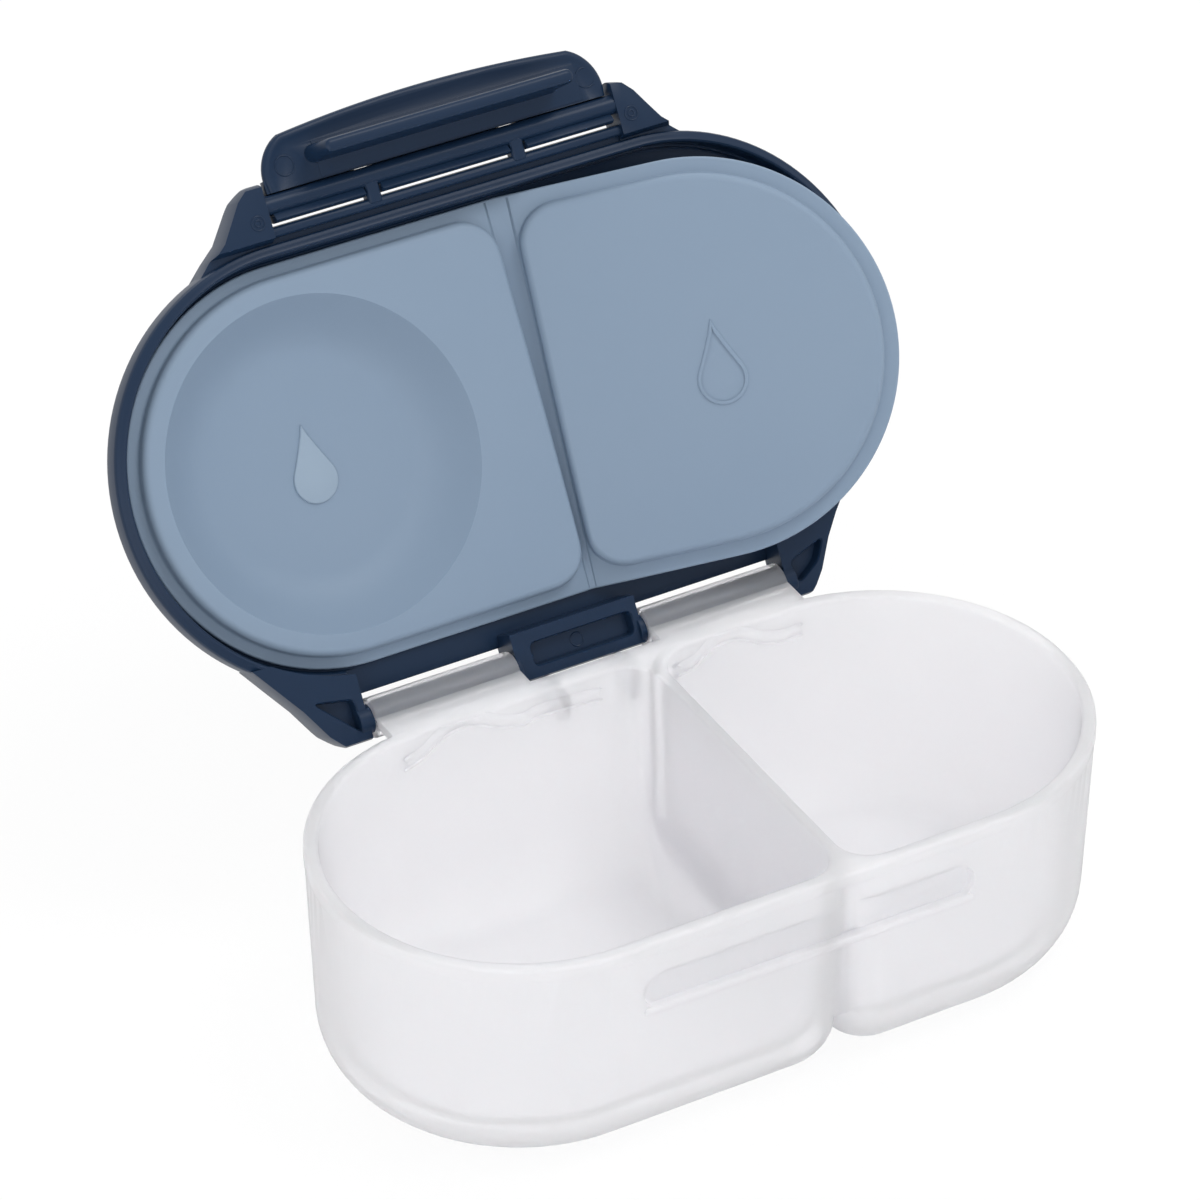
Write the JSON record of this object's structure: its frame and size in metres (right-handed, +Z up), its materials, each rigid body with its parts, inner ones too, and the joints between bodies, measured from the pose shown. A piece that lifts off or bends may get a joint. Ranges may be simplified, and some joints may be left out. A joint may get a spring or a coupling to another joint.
{
  "type": "toddler snack container",
  "caption": "Two-cup snack container: stadium-shaped milky tub, hinged dark blue lid with a dished blue-grey soft seal, and a hook-on clip that catches on the tub's front wall",
  "frame": {"origin": "middle of the flat underside of the tub, on the table", "axes": "+X along the hinge, towards the smaller cup; +Y from the latch side to the hinge side; +Z up"},
  "size_m": [0.1654, 0.1518, 0.1432],
  "materials": {
    "tub_plastic": "satin, milky see-through",
    "lid_plastic": "satin",
    "seal_silicone": "soft matte"
  },
  "bodies": {
    "tub": {"base_tub": "tub_plastic"},
    "lid": {"lid_shell": "lid_plastic", "seal_dish_half": "seal_silicone"},
    "seal_flap": {"seal_flap_half": "seal_silicone"},
    "clip": {"latch_clip": "lid_plastic"}
  },
  "joints": [
    {"name": "lid_hinge", "type": "hinge", "parent": "tub", "child": "lid", "pos_m": [0, 0.04897, 0.04625], "axis": [1, 0, 0], "range_deg": [0, 123]},
    {"name": "seal_fold", "type": "hinge", "parent": "lid", "child": "seal_flap", "pos_m": [0.0092, 0.07841, 0.08552], "axis": [0, 0.4226, 0.9063], "range_deg": [0, 22]},
    {"name": "clip_hinge", "type": "hinge", "parent": "lid", "child": "clip", "pos_m": [0, 0.1025, 0.1295], "axis": [1, 0, 0], "range_deg": [0, 95]}
  ],
  "couplings": [
    {"joint": "seal_fold", "follows": "lid_hinge", "ratio": 0.17886}
  ]
}
